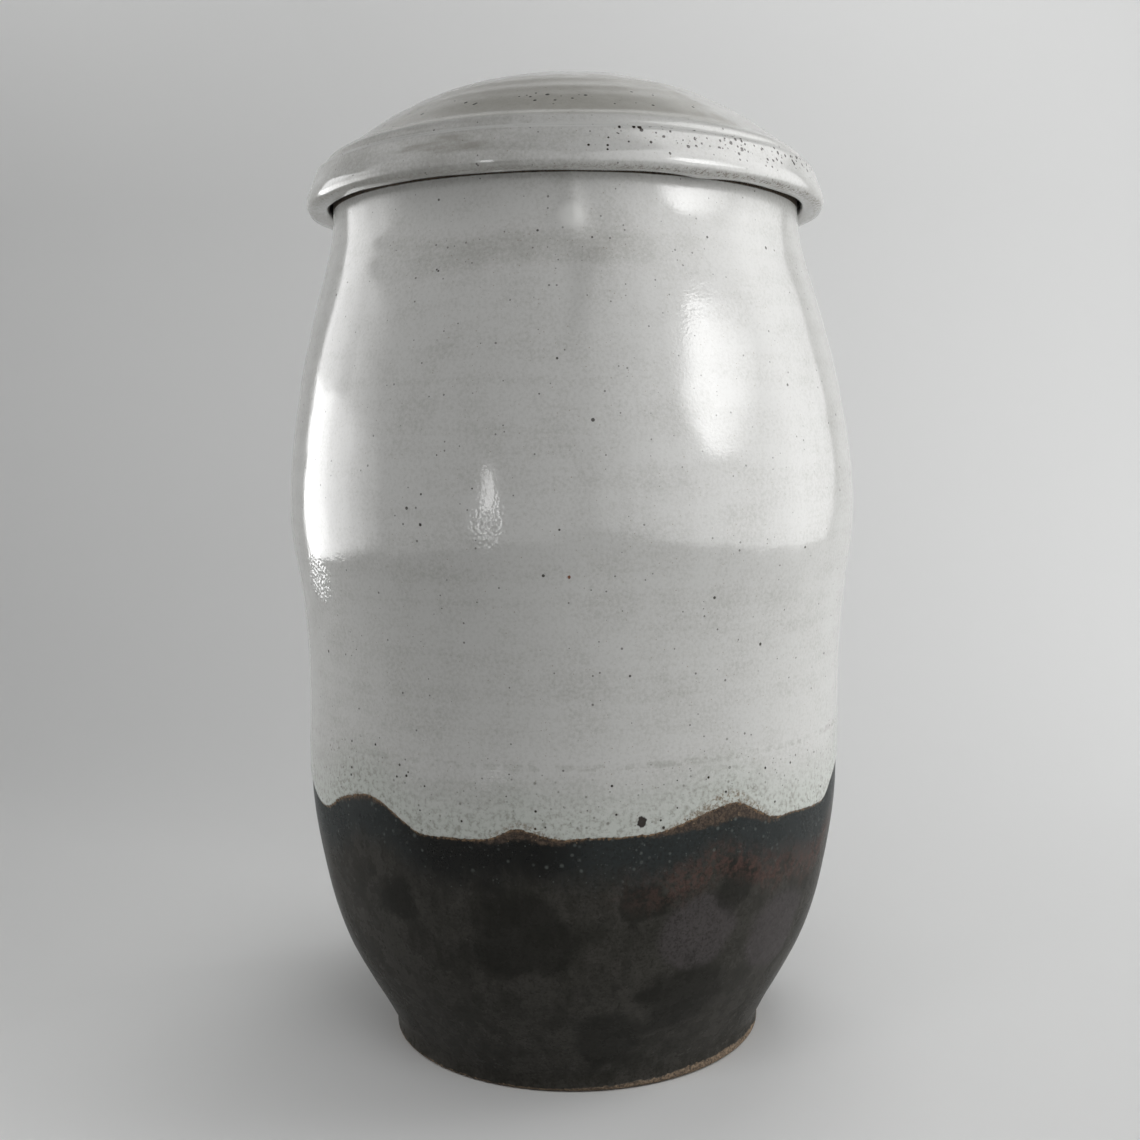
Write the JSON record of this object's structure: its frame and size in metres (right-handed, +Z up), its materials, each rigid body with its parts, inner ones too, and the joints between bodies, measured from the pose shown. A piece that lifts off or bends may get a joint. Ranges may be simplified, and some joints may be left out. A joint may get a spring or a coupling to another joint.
{
  "type": "ceramic crock fermenter",
  "caption": "Lidded stoneware crock for fermenting food or drink, with a hidden water moat round the mouth that seals the domed lid, and half-moon weights inside.",
  "frame": {"origin": "centre of the foot, on the surface that the crock stands on", "axes": "+Z up along the axis that the crock was thrown on; the two weights lie side by side along X"},
  "size_m": [0.1956, 0.1956, 0.33],
  "materials": {
    "crock_glaze": "gloss",
    "lid_glaze": "gloss",
    "weight_glaze": "satin"
  },
  "bodies": {
    "crock": {"crock": "crock_glaze"},
    "lid": {"lid": "lid_glaze"},
    "weight_left": {"weight_left": "weight_glaze"},
    "weight_right": {"weight_right": "weight_glaze"}
  },
  "joints": [
    {"name": "lid_lift", "type": "slide", "parent": "crock", "child": "lid", "axis": [0, 0, 1], "range_m": [0, 0.08]},
    {"name": "weight_left_lift", "type": "slide", "parent": "crock", "child": "weight_left", "axis": [0, 0, 1], "range_m": [0, 0.17]},
    {"name": "weight_right_lift", "type": "slide", "parent": "crock", "child": "weight_right", "axis": [0, 0, 1], "range_m": [0, 0.17]}
  ]
}
